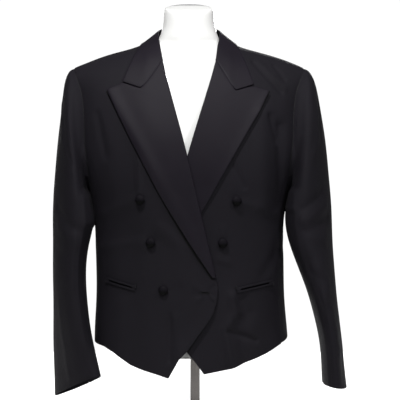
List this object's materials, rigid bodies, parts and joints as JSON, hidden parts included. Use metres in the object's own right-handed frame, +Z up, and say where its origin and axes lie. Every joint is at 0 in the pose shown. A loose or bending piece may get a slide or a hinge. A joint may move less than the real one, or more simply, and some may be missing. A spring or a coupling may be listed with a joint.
{
  "type": "blazer on dress form",
  "caption": "Cropped double-breasted blazer with wide peak lapels, jetted pockets and pointed front hems, worn by a limbless dress form that stands on a pole and a round base.",
  "frame": {"origin": "centre of the underside of the round base", "axes": "+Z up along the pole, the front of the blazer faces -Y, +X is the wearer's left"},
  "size_m": [0.5877, 0.28, 0.8444],
  "materials": {
    "black_wool": "smooth woven suiting, matt black",
    "black_facing": "black facing with a faint sheen",
    "covered_button": "button covered in black cloth",
    "white_form": "smooth white shell",
    "chromed_steel": "polished chrome"
  },
  "bodies": {
    "root": {"front_left": "black_wool", "front_right": "black_wool", "back_left": "black_wool", "back_right": "black_wool", "side_left": "black_wool", "side_right": "black_wool", "sleeve_left_top": "black_wool", "sleeve_left_under": "black_wool", "sleeve_right_top": "black_wool", "sleeve_right_under": "black_wool", "pocket_left_upper_jet": "black_wool", "pocket_left_lower_jet": "black_wool", "pocket_right_upper_jet": "black_wool", "pocket_right_lower_jet": "black_wool", "lapel_left": "black_facing", "lapel_right": "black_facing", "collar": "black_facing", "button_right_top": "covered_button", "button_right_middle": "covered_button", "button_right_bottom": "covered_button", "button_left_top": "covered_button", "button_left_middle": "covered_button", "dress_form": "white_form", "base": "chromed_steel", "pole": "chromed_steel", "flange": "chromed_steel"}
  },
  "joints": []
}
